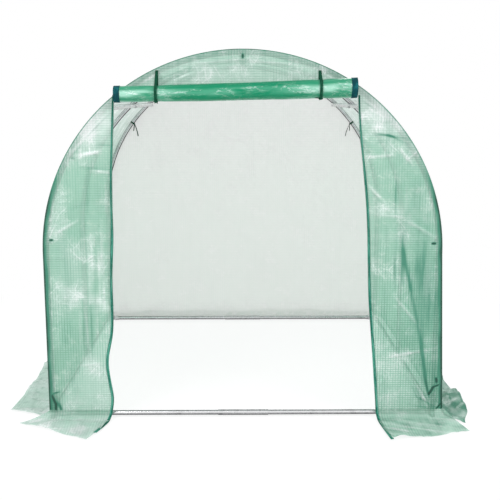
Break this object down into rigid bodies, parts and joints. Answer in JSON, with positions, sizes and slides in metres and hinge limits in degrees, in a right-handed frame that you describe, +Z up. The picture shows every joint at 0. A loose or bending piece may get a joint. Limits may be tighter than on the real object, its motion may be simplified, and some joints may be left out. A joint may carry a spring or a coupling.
{
  "type": "polytunnel greenhouse",
  "caption": "Walk-in polytunnel: galvanised tube hoops under a green net-reinforced film cover, its door rolled up and strapped over the doorway, skirts laid out on the ground.",
  "frame": {"origin": "middle of the tunnel at ground level", "axes": "+X to the right as seen from the doorway, +Y from the doorway to the back wall, +Z up"},
  "size_m": [2.44, 2.56, 1.865],
  "materials": {
    "galvanised_tube": "dull zinc coating",
    "foot_plastic": "moulded black plastic",
    "cover_film": "translucent green film with a woven net inside",
    "door_film": "the same film in many rolled layers",
    "zip_tape": "dark teal woven tape",
    "strap": "dark green woven ribbon"
  },
  "bodies": {
    "root": {"front_leg_left": "galvanised_tube", "front_leg_right": "galvanised_tube", "front_bow_left": "galvanised_tube", "front_bow_right": "galvanised_tube", "middle_leg_left": "galvanised_tube", "middle_leg_right": "galvanised_tube", "middle_bow_left": "galvanised_tube", "middle_bow_right": "galvanised_tube", "back_leg_left": "galvanised_tube", "back_leg_right": "galvanised_tube", "back_bow_left": "galvanised_tube", "back_bow_right": "galvanised_tube", "ridge_purlin": "galvanised_tube", "purlin_left": "galvanised_tube", "purlin_right": "galvanised_tube", "ground_rail_left": "galvanised_tube", "ground_rail_right": "galvanised_tube", "front_rail_left": "galvanised_tube", "front_rail_right": "galvanised_tube", "front_rail_sleeve": "galvanised_tube", "back_rail_left": "galvanised_tube", "back_rail_right": "galvanised_tube", "back_rail_sleeve": "galvanised_tube", "foot_caps": "foot_plastic", "side_cover_left": "cover_film", "side_cover_right": "cover_film", "roof_cover_left": "cover_film", "roof_cover_right": "cover_film", "front_wall_left": "cover_film", "front_wall_right": "cover_film", "front_wall_top": "cover_film", "back_wall": "cover_film", "skirt_left": "cover_film", "skirt_right": "cover_film", "skirt_front_left": "cover_film", "skirt_front_right": "cover_film", "skirt_back": "cover_film", "door_roll": "door_film", "door_zip_left": "zip_tape", "door_zip_right": "zip_tape", "door_roll_tapes": "zip_tape", "roll_strap_left": "strap", "roll_strap_right": "strap", "front_hoop_ties": "strap", "back_hoop_ties": "strap"}
  },
  "joints": []
}
